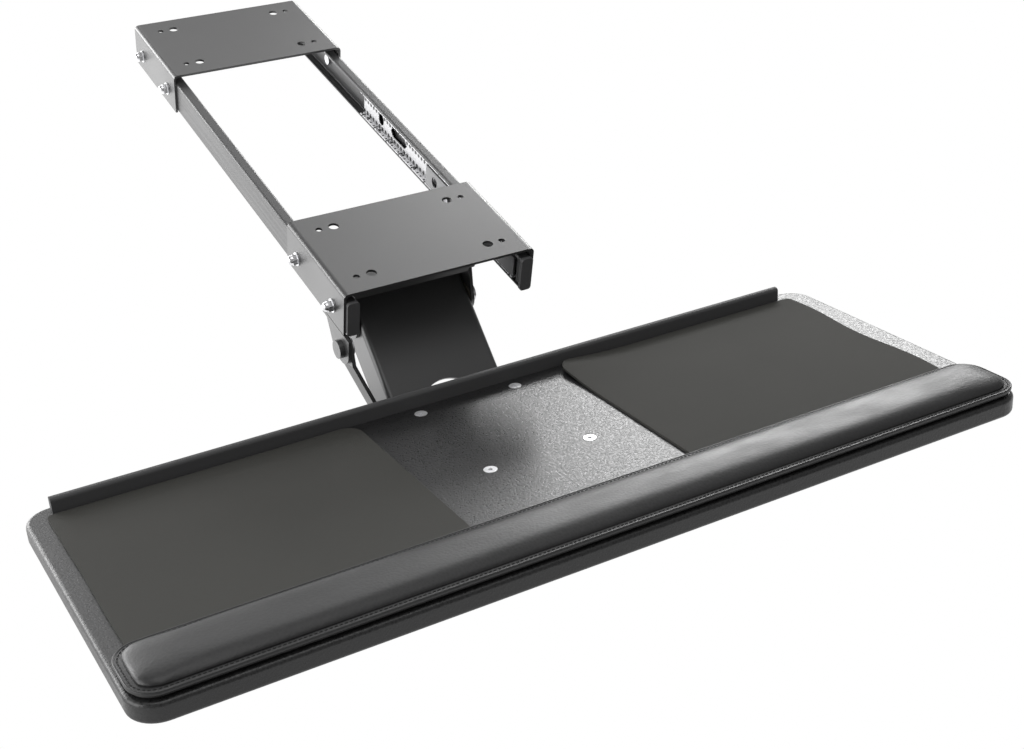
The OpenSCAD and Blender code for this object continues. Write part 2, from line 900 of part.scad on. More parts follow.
module board() {
    in_w = board_w - 2 * board_r;
    in_d = board_d - 2 * board_r;
    color([0.16, 0.16, 0.16]) tray_frame() difference() {
        translate([0, board_d / 2, 0]) union() {
            translate([-in_w / 2, -in_d / 2, -board_t]) cube([in_w, in_d, board_t]);
            for (s = [0, 1]) {
                rotate([0, 0, 180 * s]) {
                    translate([in_w / 2, 0, 0]) along_y(-in_d / 2, in_d) board_edge_profile(board_r);
                    translate([0, in_d / 2, 0]) along_x(-in_w / 2, in_w) board_edge_profile(board_r);
                }
            }
            for (k = [0:3]) {
                rotate([0, 0, 180 * floor(k / 2)]) {
                    translate([(k % 2 == 0 ? 1 : -1) * in_w / 2, in_d / 2, 0]) rotate([0, 0, 90 * (k % 2)]) {
                        rotate_extrude(angle = 90) board_edge_profile(board_r);
                    }
                }
            }
        }
        board_screw_places() {
            translate([0, 0, -board_t - 1]) cylinder(d = board_screw_d + 0.6, h = board_t + 2);
            translate([0, 0, -3]) cylinder(d1 = board_screw_d + 0.6, d2 = board_screw_head + 0.8, h = 3.01);
        }
        lip_screw_places() {
            translate([0, 0, -board_t - 1]) cylinder(d = lip_screw_d + 0.6, h = board_t + 2);
            translate([0, 0, -board_t - 1]) cylinder(d = lip_screw_head + 0.6, h = 4);
        }
    }
}

module board_screws() {
    color([0.8, 0.8, 0.82]) tray_frame() board_screw_places() difference() {
        union() {
            translate([0, 0, -2.7]) cylinder(d1 = board_screw_d, d2 = board_screw_head, h = 2.7);
            translate([0, 0, -board_t - carriage_t - board_nut_h - 1]) {
                cylinder(d = board_screw_d, h = board_t + carriage_t + board_nut_h);
            }
        }
        translate([0, 0, -board_socket_h]) cylinder(d = board_socket_d, h = board_socket_h + 1, $fn = 6);
    }
}

module board_nuts() {
    color([0.66, 0.66, 0.68]) tray_frame() board_screw_places() {
        translate([0, 0, -board_t - carriage_t - board_nut_h]) difference() {
            cylinder(d = board_nut_d, h = board_nut_h, $fn = 6);
            translate([0, 0, -1]) cylinder(d = board_screw_d + 0.2, h = board_nut_h + 2);
        }
    }
}

module tray_hanger() {
    color([0.12, 0.12, 0.13]) tray_frame() difference() {
        union() {
            translate([-cheek_out, hanger_front, -board_t - carriage_t]) {
                cube([2 * cheek_out, hanger_rear - hanger_front, carriage_t]);
            }
            for (s = [-1, 1]) {
                on_side(s) along_x(cheek_in, carriage_t) {
                    translate([tilt_from_front, -tilt_drop]) circle(r = hanger_r);
                    polygon([
                        [hanger_rear, -board_t - carriage_t],
                        [tilt_from_front + hanger_r, -tilt_drop],
                        [tilt_from_front - hanger_r, -tilt_drop],
                        [tilt_from_front - hanger_foot, -board_t - carriage_t],
                        [tilt_from_front - hanger_foot, -board_t],
                        [hanger_rear, -board_t]
                    ]);
                }
            }
        }
        x_bar(pivot_bore, -cheek_out - 1, cheek_out + 1, tilt_from_front, -tilt_drop);
        board_screw_places() {
            translate([0, 0, -board_t - 2 * carriage_t]) cylinder(d = board_screw_d + 0.6, h = 3 * carriage_t);
        }
    }
}

module tilt_washers() {
    color([0.55, 0.5, 0.42]) friction_rings(tilt_y, tilt_z);
}

module rear_lip() {
    color([0.18, 0.18, 0.18]) tray_frame() difference() {
        along_x(lip_shift - lip_w / 2, lip_w) {
            translate([lip_front + rear_lip_d / 2, rear_lip_h]) round_top(rear_lip_d, rear_lip_h, lip_round);
        }
        lip_screw_places() {
            translate([0, 0, -1]) cylinder(d = lip_screw_d + 0.1, h = lip_screw_depth + 1.5);
        }
    }
}

module lip_screws() {
    color([0.6, 0.6, 0.62]) tray_frame() lip_screw_places() {
        translate([0, 0, -board_t + 0.6]) cylinder(d = lip_screw_head, h = 2.4);
        translate([0, 0, -board_t + 1]) cylinder(d = lip_screw_d, h = board_t + lip_screw_depth - 1);
    }
}

module side_pad(side, inward) {
    tray_frame() on_side(side) translate([pad_x - inward, pad_front + pad_d / 2, 0]) linear_extrude(pad_t) {
        difference() {
            round_rect(pad_w, pad_d, 4);
            translate([-pad_w / 2 - 1, pad_d / 2 - pad_r]) square(pad_r + 1);
        }
        translate([pad_r - pad_w / 2, pad_d / 2 - pad_r]) circle(r = pad_r);
    }
}

module left_pad() {
    color([0.27, 0.26, 0.25]) side_pad(-1, 0);
}

module right_pad() {
    color([0.27, 0.26, 0.25]) side_pad(1, right_pad_in);
}

module wrist_base() {
    color([0.08, 0.08, 0.08]) tray_frame() translate([0, rest_front + rest_d / 2, 0]) {
        linear_extrude(rest_base_t) {
            round_rect(rest_w - 2 * rest_base_in, rest_d - 2 * rest_base_in, rest_r - rest_base_in);
        }
    }
}

// One level of the padding's outline: a rounded rectangle, drawn in from the hem's edge
function rest_ring(inset) =
    let (w = rest_w / 2 - inset, d = rest_d / 2 - inset, r = max(rest_r - inset, ridge_r))
    [for (c = [0:3], k = [0:corner_steps])
        let (a = 90 * (c - 1 + k / corner_steps))
        [
            (c < 2 ? 1 : -1) * (w - r) + r * cos(a),
            (c == 1 || c == 2 ? 1 : -1) * (d - r) + r * sin(a)
        ]
    ];

// The padding: a crowned cushion inside a sewn hem
module wrist_rest() {
    n = 4 * (corner_steps + 1);
    m = len(rest_section);
    points = [
        for (p = rest_section, q = rest_ring(p[0])) [q[0], rest_front + rest_d / 2 + q[1], rest_base_t + p[1]]
    ];
    sides = [
        for (i = [0:m - 2], j = [0:n - 1], k = [0, 1]) k == 0
            ? [i * n + j, (i + 1) * n + j, (i + 1) * n + (j + 1) % n]
            : [i * n + j, (i + 1) * n + (j + 1) % n, i * n + (j + 1) % n]
    ];
    ends = [[for (j = [0:n - 1]) j], [for (j = [n - 1:-1:0]) (m - 1) * n + j]];
    color([0.2, 0.2, 0.2]) tray_frame() polyhedron(points = points, faces = concat(sides, ends));
}

front_bracket();
rear_bracket();
left_channel();
right_channel();
channel_end_caps();
side_bolts();
side_washers();
dome_nuts();
left_cage();
right_cage();
left_balls();
right_balls();
carriage_plate();
left_inner_rail();
right_inner_rail();
rail_rivets();
clevis();
clevis_rivets();
arm_pin();
arm_pin_nut();
stay_pin();
stay_clip();
arm();
arm_washers();
stay_stud();
stay_sleeve();
stay_washer();
stay_nut();
tilt_pin();
tilt_pin_nut();
stay();
tray_hanger();
tilt_washers();
board();
board_screws();
board_nuts();
rear_lip();
lip_screws();
left_pad();
right_pad();
wrist_base();
wrist_rest();
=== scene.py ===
# %% [markdown]
# # A keyboard tray that hangs under a desk
# Two pressed brackets hold a pair of ball slides. A carriage runs in the slides, an arm swings below it,
# and the arm carries a tilting board with soft pads and a stuffed wrist rest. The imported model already
# gives every steel and board piece its place and its motion. This lesson adds what solids leave out: the
# sewn wrist rest, the soft pads, and a surface for every material.

# %% Load the frame
import json
import math

import bpy
from mathutils import Matrix, Vector


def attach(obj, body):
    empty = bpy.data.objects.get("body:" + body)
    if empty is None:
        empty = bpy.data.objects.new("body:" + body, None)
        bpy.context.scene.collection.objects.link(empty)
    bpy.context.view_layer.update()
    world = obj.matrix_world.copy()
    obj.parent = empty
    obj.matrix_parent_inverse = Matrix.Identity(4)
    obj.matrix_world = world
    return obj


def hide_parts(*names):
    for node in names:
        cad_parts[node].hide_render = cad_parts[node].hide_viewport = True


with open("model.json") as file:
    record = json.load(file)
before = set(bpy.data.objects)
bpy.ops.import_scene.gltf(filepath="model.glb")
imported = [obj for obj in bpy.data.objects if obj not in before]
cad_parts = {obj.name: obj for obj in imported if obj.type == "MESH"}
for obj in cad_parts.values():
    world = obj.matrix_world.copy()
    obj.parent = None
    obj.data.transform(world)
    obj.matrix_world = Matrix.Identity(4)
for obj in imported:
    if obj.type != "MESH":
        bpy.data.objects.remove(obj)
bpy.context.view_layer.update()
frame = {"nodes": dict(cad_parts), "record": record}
nodes = frame["nodes"]

# %% [markdown]
# ## Sums of shader sockets
# Most finishes here are a few noises added and squeezed. Math nodes could be placed and linked one by
# one, but ten lines of links hide a sum of three terms. `Wire` wraps a socket, so that `1 - web` or
# `grain * 0.9` adds the node by itself. Colours go through a Mix node, because a Math node would turn
# them grey.

# %% Sums of shader sockets
MIX_COLOUR_A, MIX_COLOUR_B, MIX_COLOUR_OUT = 6, 7, 2


class Wire:
    """A shader socket that takes part in sums."""

    def __init__(self, board, socket):
        self.board = board
        self.socket = socket

    def math(self, operation, *others):
        return self.board.node("ShaderNodeMath", {"operation": operation}, dict(enumerate((self, *others))))

    def __add__(self, other):
        return self.math("ADD", other)

    def __sub__(self, other):
        return self.math("SUBTRACT", other)

    def __rsub__(self, other):
        return self.board.node("ShaderNodeMath", {"operation": "SUBTRACT"}, {0: other, 1: self})

    def __mul__(self, other):
        return self.math("MULTIPLY", other)

    def __truediv__(self, other):
        return self.math("DIVIDE", other)

    def __rtruediv__(self, other):
        return self.board.node("ShaderNodeMath", {"operation": "DIVIDE"}, {0: other, 1: self})

    __radd__ = __add__
    __rmul__ = __mul__

    def span(self, low, high, to_low=0.0, to_high=1.0):
        """Eases from one value to another while this one goes from low to high."""
        limits = {"Value": self, "From Min": low, "From Max": high, "To Min": to_low, "To Max": to_high}
        return self.board.node("ShaderNodeMapRange", {"interpolation_type": "SMOOTHSTEP"}, limits)

    def tint(self, dark, light):
        """Goes from one colour to another as this value goes from 0 to 1."""
        colours = {0: self, MIX_COLOUR_A: dark, MIX_COLOUR_B: light}
        return self.board.node("ShaderNodeMix", {"data_type": "RGBA"}, colours, MIX_COLOUR_OUT)


print("shader sums: + - * / span tint")

# %% [markdown]
# ## A board of nodes
# Every other node comes from one method. It takes the node's type, then its settings, then what goes into
# its sockets, in that order, because a setting such as a Mix node's data type changes which sockets there
# are.

# %% A board of nodes
class Board:
    """A node tree that hands out wires."""

    def __init__(self, tree):
        self.tree = tree

    def node(self, kind, settings=None, sockets=None, output=0):
        made = self.tree.nodes.new(kind)
        for name, value in (settings or {}).items():
            setattr(made, name, value)
        for key, value in (sockets or {}).items():
            self.plug(value, made.inputs[key])
        return Wire(self, made.outputs[output])

    def plug(self, value, socket):
        if isinstance(value, Wire):
            self.tree.links.new(value.socket, socket)
        else:
            socket.default_value = value


print("board methods: node, plug")

# %% [markdown]
# ## One finish
# A finish is a material round a Principled shader. Its patterns read Object coordinates: a UV map would
# have to be unwrapped for 42 pieces and would show seams, while a pattern in the object's own space runs
# through bends and holes and moves with the piece.

# %% One finish
class Finish(Board):
    def __init__(self, name, **sockets):
        self.material = bpy.data.materials.new(name)
        self.material.use_nodes = True
        super().__init__(self.material.node_tree)
        self.shader = self.tree.nodes["Principled BSDF"]
        self.coords = self.node("ShaderNodeTexCoord", output="Object")
        self.feed(**sockets)

    def feed(self, **sockets):
        for name, value in sockets.items():
            self.plug(value, self.shader.inputs[name.replace("_", " ")])

    def stretched(self, stretch):
        return self.node("ShaderNodeMapping", None, {"Vector": self.coords, "Scale": stretch})

    def noise(self, scale, detail=4.0, rough=0.55, stretch=(1, 1, 1)):
        values = {"Vector": self.stretched(stretch), "Scale": scale, "Detail": detail, "Roughness": rough}
        return self.node("ShaderNodeTexNoise", None, values)

    def pebbles(self, scale):
        values = {"Vector": self.coords, "Scale": scale, "Smoothness": 0.6}
        return self.node("ShaderNodeTexVoronoi", {"feature": "SMOOTH_F1"}, values, "Distance")

    def axis(self, letter):
        return self.node("ShaderNodeSeparateXYZ", None, {0: self.coords}, letter)

    def relief(self, height, strength, depth):
        """Lifts the surface by a pattern and returns the finished material."""
        bump = {"Strength": strength, "Distance": depth, "Height": height}
        self.feed(Normal=self.node("ShaderNodeBump", None, bump))
        print("finish:", self.material.name)
        return self.material


def grey(level):
    """A grey that leans a little to blue, as black steel and plastic do."""
    return (level, level, level * 1.02, 1)


slot_finish = {}
node_finish = {}

# %% [markdown]
# ## Powder coat
# Brackets, carriage, clevis, arm, stay and hanger are pressed from sheet and sprayed with black powder,
# which melts to a satin skin with a fine orange peel. A plain dark colour would look like paper. Two
# noises make it: a wide cloud for the uneven gloss, and a very fine one that colours the skin and lifts
# it.

# %% Powder coat
def powder_coat(name, dark, light, rough):
    skin = Finish(name, Specular_IOR_Level=0.9, Coat_Weight=0.15, Coat_Roughness=0.3)
    cloud = skin.noise(9, 2)
    peel = skin.noise(2600, 2)
    skin.feed(
        Base_Color=(cloud * 0.3 + peel * 0.7).tint(dark, light),
        Roughness=cloud.span(0.3, 0.7, rough - 0.03, rough + 0.03),
    )
    return skin.relief(peel, 0.05, 0.0003)


slot_finish["powder_coat"] = powder_coat("black_powder_coat", grey(0.022), grey(0.036), 0.4)

# %% [markdown]
# ## Rolled steel
# The slides are rolled from strip, so their grain runs along Y. An anisotropic shader could give the long
# streaks, but needs tangents. A noise that is drawn out a hundredfold along Y gives the same lines. The
# inner rails are left paler than the channels, and the board screws paler still.

# %% Rolled steel
ALONG_THE_RAIL = (1, 0.01, 1)


def rolled_steel(name, dark, light, metal, rough):
    skin = Finish(name, Metallic=metal, Specular_IOR_Level=0.8)
    lines = skin.noise(700, 3, 0.6, ALONG_THE_RAIL)
    cloud = skin.noise(20, 2)
    skin.feed(
        Base_Color=(lines * 0.8 + cloud * 0.2).tint(dark, light),
        Roughness=lines.span(0.3, 0.7, rough, rough + 0.12),
    )
    return skin.relief(lines, 0.08, 0.0003)


slot_finish["rail_steel"] = rolled_steel("black_rolled_steel", grey(0.03), grey(0.06), 0.16, 0.38)
inner_rail_steel = rolled_steel("grey_rolled_steel", grey(0.14), grey(0.22), 0.5, 0.34)
node_finish["left_inner_rail"] = node_finish["right_inner_rail"] = inner_rail_steel
node_finish["board_screws"] = rolled_steel("satin_screw", grey(0.72), grey(0.85), 0.6, 0.36)

# %% [markdown]
# ## Bright metal
# Bolts, pins, nuts and rivets are zinc plated, the dome nuts chromed, the bearing balls polished. The balls
# are coloured dark as painted shade, so that they read as the dark dots in the cage's windows. All three are
# one
# recipe: a full metal whose colour and gloss drift with a small cloud, because perfect chrome looks drawn.

# %% Bright metal
def bright_metal(name, dark, light, rough):
    skin = Finish(name, Metallic=1.0)
    cloud = skin.noise(160, 5)
    skin.feed(Base_Color=cloud.tint(dark, light), Roughness=cloud.span(0.3, 0.7, rough, rough + 0.1))
    return skin.relief(cloud, 0.05, 0.0002)


slot_finish["zinc"] = bright_metal("bright_zinc", grey(0.62), grey(0.8), 0.3)
slot_finish["chrome"] = bright_metal("chrome_plate", grey(0.78), grey(0.9), 0.14)
# Painted shade: the balls are coloured dark so that they read as the cage's dark dots.
slot_finish["ball_steel"] = bright_metal("bearing_steel", grey(0.1), grey(0.14), 0.14)

# %% [markdown]
# ## Ball cage
# A ball cage is a bright strip with rows of small dark dots, and slits that part its lower arm into cells.
# The
# dots and slits are painted shade: they stand for windows and gaps that show the shaded channel behind.
# Cutting every dot would cost many faces for marks of two pixels. A formula draws them: the place along Y is
# folded into one pitch, and the distance to the middle of that pitch says whether a point lies in a dot. The
# arm below the web is painted paler than the web, as painted light, and made less metallic, because it faces
# up and would mirror the dark channel.

# %% Ball cage
WEB_FACE, WEB_BLUR = 0.0712, 0.0001
CELL_PITCH = 0.024
SLIT_SHARE, SLIT_BLUR = 0.03, 0.02
# Middle, pitch and radius of each row of dots, in metres
UPPER_DOTS = (-0.0174, 0.0054, 0.0018)
LOWER_DOTS = (-0.0286, 0.006, 0.0018)
ARM_DOTS = (0.069, 0.006, 0.001)
DOT_BLUR = 0.00025
CAGE_SHADOW = (0.008, 0.008, 0.008, 1)


def dot_row(along, place, middle, pitch, radius):
    """0 inside the dots of a row and 1 outside them."""
    step = ((along / pitch).math("FRACT") - 0.5) * pitch
    side = place - middle
    reach = (step * step + side * side).math("SQRT")
    return reach.span(radius - DOT_BLUR, radius + DOT_BLUR)


def ball_cage(name, dark, light):
    skin = Finish(name, Specular_IOR_Level=0.8)
    cloud = skin.noise(160, 5)
    across, along, height = skin.axis("X").math("ABSOLUTE"), skin.axis("Y"), skin.axis("Z")
    # Painted shade: the dots and slits are dark where windows and gaps would show the shaded channel.
    web_dots = dot_row(along, height, *UPPER_DOTS) * dot_row(along, height, *LOWER_DOTS)
    dots = web_dots * dot_row(along, across, *ARM_DOTS)
    cell_place = ((along / CELL_PITCH).math("FRACT") - 0.5).math("ABSOLUTE")
    slits = cell_place.span(SLIT_SHARE, SLIT_SHARE + SLIT_BLUR)
    web = across.span(WEB_FACE - WEB_BLUR, WEB_FACE + WEB_BLUR)
    cells = across.span(WEB_FACE, WEB_FACE + WEB_BLUR).math("MAXIMUM", slits)
    # Painted light: the arm is tinted paler than the web, because it faces up and would mirror the dark
    # channel.
    strip = (cloud * 0.2 + (1 - web) * 0.8).tint(dark, light)
    skin.feed(
        Base_Color=(dots * cells).tint(CAGE_SHADOW, strip),
        Metallic=web * 0.55,
        Roughness=cloud.span(0.3, 0.7, 0.3, 0.42),
    )
    return skin.relief(dots, 0.3, 0.0003)


node_finish["left_cage"] = node_finish["right_cage"] = ball_cage("punched_zinc", grey(0.44), grey(0.95))

# %% [markdown]
# ## Moulded plastic
# End caps, friction washers, the wrist rest's base and the lip at the board's rear are plain mouldings
# with a fine spark-eroded grain. One speckle noise drives colour, gloss and relief, so that light and
# grain agree.

# %% Moulded plastic
def moulded(name, dark, light, rough):
    skin = Finish(name, Specular_IOR_Level=0.4)
    speck = skin.noise(1200, 3)
    skin.feed(Base_Color=speck.tint(dark, light), Roughness=speck.span(0.3, 0.7, rough, rough + 0.12))
    return skin.relief(speck, 0.15, 0.0003)


slot_finish["cap_plastic"] = moulded("cap_plastic", grey(0.07), grey(0.1), 0.5)
slot_finish["washer_plastic"] = moulded("washer_plastic", (0.1, 0.09, 0.07, 1), (0.16, 0.14, 0.11, 1), 0.6)
# The base is black plastic, coloured darker than the other mouldings as painted shade for the recess under
# the hem.
slot_finish["base_plastic"] = moulded("base_plastic", grey(0.006), grey(0.012), 0.6)
node_finish["rear_lip"] = moulded("lip_plastic", grey(0.05), grey(0.074), 0.6)

# %% [markdown]
# ## Pebbled board
# The board is faced with a black foil that is printed with fine pebbles. Modelled pebbles would be
# millions of faces. A smooth Voronoi pattern has the same round cells, and as relief it breaks the light
# into a soft sheen.

# %% Pebbled board
def pebble_board(name, dark, light, rough):
    skin = Finish(name, Specular_IOR_Level=0.5)
    grain = skin.pebbles(620)
    cloud = skin.noise(6, 2)
    skin.feed(
        Base_Color=(grain * 0.9 + cloud * 0.2).tint(dark, light),
        Roughness=grain.span(0.1, 0.7, rough - 0.06, rough + 0.08),
    )
    return skin.relief(grain, 0.3, 0.0003)


slot_finish["laminate"] = pebble_board("pebbled_board", grey(0.008), grey(0.026), 0.33)

# %% [markdown]
# ## Mat weave
# The side pads are matte and a touch warm, like the cloth top of a mouse mat. The threads are finer than
# a pixel, so a fine, rough noise stands in for the weave and only has to kill the gloss evenly.

# %% Mat weave
def woven_mat(name, dark, light):
    skin = Finish(name, Specular_IOR_Level=0.3)
    weave = skin.noise(1500, 2, 0.7)
    cloud = skin.noise(12, 2)
    skin.feed(
        Base_Color=(weave * 0.7 + cloud * 0.3).tint(dark, light),
        Roughness=weave.span(0.2, 0.8, 0.74, 0.92),
    )
    return skin.relief(weave, 0.3, 0.0004)


slot_finish["mat"] = woven_mat("mat_weave", (0.03, 0.03, 0.027, 1), (0.052, 0.051, 0.046, 1))

# %% [markdown]
# ## Soft leather
# The wrist rest has a thin, supple leather cover. Real leather shows two sizes of mark: tight round
# grain, and longer creases where it is pulled over the stuffing. The grain is a Voronoi pattern and the
# creases a noise that is drawn out along X, the way the cover is stretched.

# %% Soft leather
ALONG_THE_REST = (0.35, 1, 1)


def soft_leather(name, dark, light):
    skin = Finish(name, Specular_IOR_Level=0.5)
    grain = skin.pebbles(520)
    crease = skin.noise(60, 5, 0.6, ALONG_THE_REST)
    skin.feed(
        Base_Color=(grain * 0.6 + crease * 0.4).tint(dark, light),
        Roughness=crease.span(0.3, 0.7, 0.38, 0.48),
    )
    return skin.relief(grain * 0.7 + crease * 0.5, 0.22, 0.0004)


slot_finish["leather"] = soft_leather("soft_leather", grey(0.012), grey(0.026))

# %% [markdown]
# ## Sewing thread
# The seam is sewn with a twisted thread that shines less than the leather. A single stitch is under a
# pixel wide, so a fine noise is enough for the twist.

# %% Sewing thread
def thread(name, dark, light):
    skin = Finish(name, Specular_IOR_Level=0.35)
    twist = skin.noise(2400, 2)
    skin.feed(Base_Color=twist.tint(dark, light), Roughness=twist.span(0.3, 0.7, 0.75, 0.9))
    return skin.relief(twist, 0.3, 0.0002)


stitch_finish = thread("sewing_thread", grey(0.014), grey(0.03))

# %% [markdown]
# ## Dress the solids
# Each solid knows its material slot from the record. A few pieces share a slot but not a look, so their
# own finish goes first. The meshes themselves stay as they are.

# %% Dress the solids
for part in frame["record"]["subparts"]:
    shape = nodes[part["node"]]
    shape.data.materials.clear()
    shape.data.materials.append(node_finish.get(part["node"], slot_finish[part["material_slot"]]))
print(len(nodes), "solids dressed,", len(node_finish), "of them with their own finish")

# %% [markdown]
# ## The tray's own frame
# The board hangs tilted, and shaping soft pieces on a slope is awkward. They are drawn flat instead, with
# X from the middle, Y from the board's front edge and Z from its top, in millimetres. One matrix then
# carries each to its place: it starts from the tilt hinge, which the record gives. Turned round, the same
# matrix measures the plain solids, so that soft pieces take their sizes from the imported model.

# %% The tray's own frame
MM = 0.001
BOARD_TILT = math.radians(-16)
HINGE_TO_FRONT = Vector((0, -245.8, 44.4)) * MM
tilt_joint = next(joint for joint in frame["record"]["behaviour"]["joints"] if joint["name"] == "tray_tilt")
TRAY = (
    Matrix.Translation(tilt_joint["pos_m"])
    @ Matrix.Rotation(BOARD_TILT, 4, "X")
    @ Matrix.Translation(HINGE_TO_FRONT)
)


def tray_box(node):
    """The lowest and the highest corner of a solid in the tray's frame, in millimetres."""
    solid = nodes[node]
    points = [TRAY.inverted() @ solid.matrix_world @ vertex.co / MM for vertex in solid.data.vertices]
    return [[round(pick(point[axis] for point in points), 2) for axis in range(3)] for pick in (min, max)]


print("board from", *tray_box("board"), "mm")

# %% [markdown]
# ## Hand tools
# Operators act on whatever is selected, and loading leaves the solids selected, so every tool first clears
# the selection. `block` draws a box between two corners: a cube is resized and moved in edit mode, which
# leaves the object itself unturned and unscaled.

# %% Hand tools
def select_only(obj):
    bpy.ops.object.select_all(action="DESELECT")
    obj.select_set(True)
    bpy.context.view_layer.objects.active = obj


def edit(*strokes):
    """Runs operators on the whole active mesh in edit mode."""
    bpy.ops.object.mode_set(mode="EDIT")
    bpy.ops.mesh.select_all(action="SELECT")
    for stroke in strokes:
        stroke()
    bpy.ops.object.mode_set(mode="OBJECT")


def resize(size):
    return lambda: bpy.ops.transform.resize(value=size)


def shift(move):
    return lambda: bpy.ops.transform.translate(value=move)


def block(name, low, high):
    """A closed box between two corners in millimetres, drawn in the tray's frame."""
    bpy.ops.object.select_all(action="DESELECT")
    bpy.ops.mesh.primitive_cube_add(size=1)
    obj = bpy.context.object
    obj.name = name
    low, high = Vector(low) * MM, Vector(high) * MM
    edit(resize(high - low), shift((low + high) / 2))
    return obj


def apply_modifiers(obj):
    select_only(obj)
    for modifier in list(obj.modifiers):
        bpy.ops.object.modifier_apply(modifier=modifier.name)


print("hand tools: select_only, edit, block, apply_modifiers")

# %% [markdown]
# ## Rounding by place
# Corners are rounded with the bevel operator, as by hand, but an edge's number changes with every cut. So
# edges are picked by a test on where their two ends lie, such as upright, or level at a given height.

# %% Rounding by place
def clear_picks(obj, kind):
    """Leaves no face, edge or point of a mesh selected, ready to pick some by their place."""
    select_only(obj)
    bpy.ops.object.mode_set(mode="EDIT")
    bpy.ops.mesh.select_mode(type=kind)
    bpy.ops.mesh.select_all(action="DESELECT")
    bpy.ops.object.mode_set(mode="OBJECT")


def bevel_where(obj, test, width, segments):
    """Bevels the edges whose two ends pass the test."""
    clear_picks(obj, "EDGE")
    points = [v.co / MM for v in obj.data.vertices]
    for edge in obj.data.edges:
        edge.select = test(points[edge.vertices[0]], points[edge.vertices[1]])
    bpy.ops.object.mode_set(mode="EDIT")
    bpy.ops.mesh.bevel(offset=width * MM, segments=segments, affect="EDGES", clamp_overlap=True)
    bpy.ops.object.mode_set(mode="OBJECT")


def upright(a, b):
    return abs(a.z - b.z) > 0.5 and (a.xy - b.xy).length < 0.01


def level_at(height):
    return lambda a, b: abs(a.z - height) < 0.01 and abs(b.z - height) < 0.01


print("edge tests: upright, level_at")

# %% [markdown]
# ## Onto the tray
# A finished piece goes to its place with its object left at the origin, so the matrix is applied to the
# mesh. It then rides the tray's body, and takes the finish that it is given.

# %% Onto the tray
SMOOTH_BELOW = math.radians(35)


def put_on_tray(obj, finish):
    select_only(obj)
    obj.matrix_world = TRAY @ obj.matrix_world
    bpy.ops.object.transform_apply(location=True, rotation=True, scale=True)
    bpy.ops.object.shade_smooth_by_angle(angle=SMOOTH_BELOW)
    obj.data.materials.clear()
    obj.data.materials.append(finish)
    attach(obj, "tray")
    obj.data.calc_loop_triangles()
    print(obj.name, len(obj.data.loop_triangles), "triangles")
    return obj

# %% [markdown]
# ## Wrist rest: the hem
# The leather ends in a flat hem round the stuffing, with corners that follow the board. A sheet with
# thickness would do, but the hem is stiff and flat, so a block with rounded corners and softened edges is
# the shorter way.

# %% Wrist rest: the hem
HEM_THICK, HEM_CORNER, HEM_EDGE = 2.4, 18, 0.7
(_, REST_FRONT, HEM_BASE), (REST_X, REST_REAR, _) = tray_box("wrist_rest")
REST_MID = (REST_FRONT + REST_REAR) / 2
HEM_TOP = HEM_BASE + HEM_THICK

hem = block("wrist_hem", (-REST_X, REST_FRONT, HEM_BASE), (REST_X, REST_REAR, HEM_TOP))
bevel_where(hem, upright, HEM_CORNER, 12)
bevel_where(hem, level_at(HEM_TOP), HEM_EDGE, 3)
bevel_where(hem, level_at(HEM_BASE), HEM_EDGE, 3)
put_on_tray(hem, slot_finish["leather"])

# %% [markdown]
# ## Wrist rest: the foam core
# Inside the cover lies a strip of foam, higher in the middle than at its edges. It is drawn a little too
# low, because the cover will swell. The top face of a block is inset and lifted three times for the
# crown, and a voxel remesh turns the result into even, small faces that cloth can bend.

# %% Wrist rest: the foam core
FOAM_INSET = 4.2
FOAM_SINK, FOAM_RISE = 1.4, 2.0
FOAM_CORNER = 14
CROWN_STEPS = ((3, 1.9), (5, 1.2), (8, 0.7))
VOXEL = 2.6


def raise_top(obj, steps):
    """Crowns a block: its top face is inset and lifted, step by step."""
    clear_picks(obj, "FACE")
    top = max(obj.data.polygons, key=lambda face: face.center.z)
    top.select = True
    bpy.ops.object.mode_set(mode="EDIT")
    for inset, lift in steps:
        bpy.ops.mesh.inset(thickness=inset * MM, depth=0)
        bpy.ops.transform.translate(value=(0, 0, lift * MM))
    bpy.ops.object.mode_set(mode="OBJECT")


def smooth(obj, rounds):
    obj.modifiers.new("even", "SMOOTH").iterations = rounds


low = (-REST_X + FOAM_INSET, REST_FRONT + FOAM_INSET, HEM_TOP - FOAM_SINK)
high = (REST_X - FOAM_INSET, REST_REAR - FOAM_INSET, HEM_TOP + FOAM_RISE)
cushion = block("wrist_cushion", low, high)
bevel_where(cushion, upright, FOAM_CORNER, 10)
raise_top(cushion, CROWN_STEPS)
select_only(cushion)
cushion.data.remesh_voxel_size = VOXEL * MM
bpy.ops.object.voxel_remesh()
smooth(cushion, 8)
apply_modifiers(cushion)
print("foam core:", len(cushion.data.polygons), "faces")

# %% [markdown]
# ## Wrist rest: the stuffed cover
# A cover that is pulled over foam bulges between its seams. Sculpting could show that, but Cloth does it
# by itself: pressure blows the mesh up while its foot stays pinned to the hem. No point may move more
# than a millimetre, so that the rest keeps its height. The swollen places are then written into the mesh,
# and no Cloth stays on it.

# %% Wrist rest: the stuffed cover
FOOT_RISE = 0.3
SWELL_LIMIT = 1.0
LAST_FRAME = 20
COVER = {
    "quality": 5,
    "mass": 0.2,
    "tension_stiffness": 12,
    "compression_stiffness": 12,
    "bending_stiffness": 0.4,
    "use_pressure": True,
    "uniform_pressure_force": 4,
    "vertex_group_mass": "foot",
}


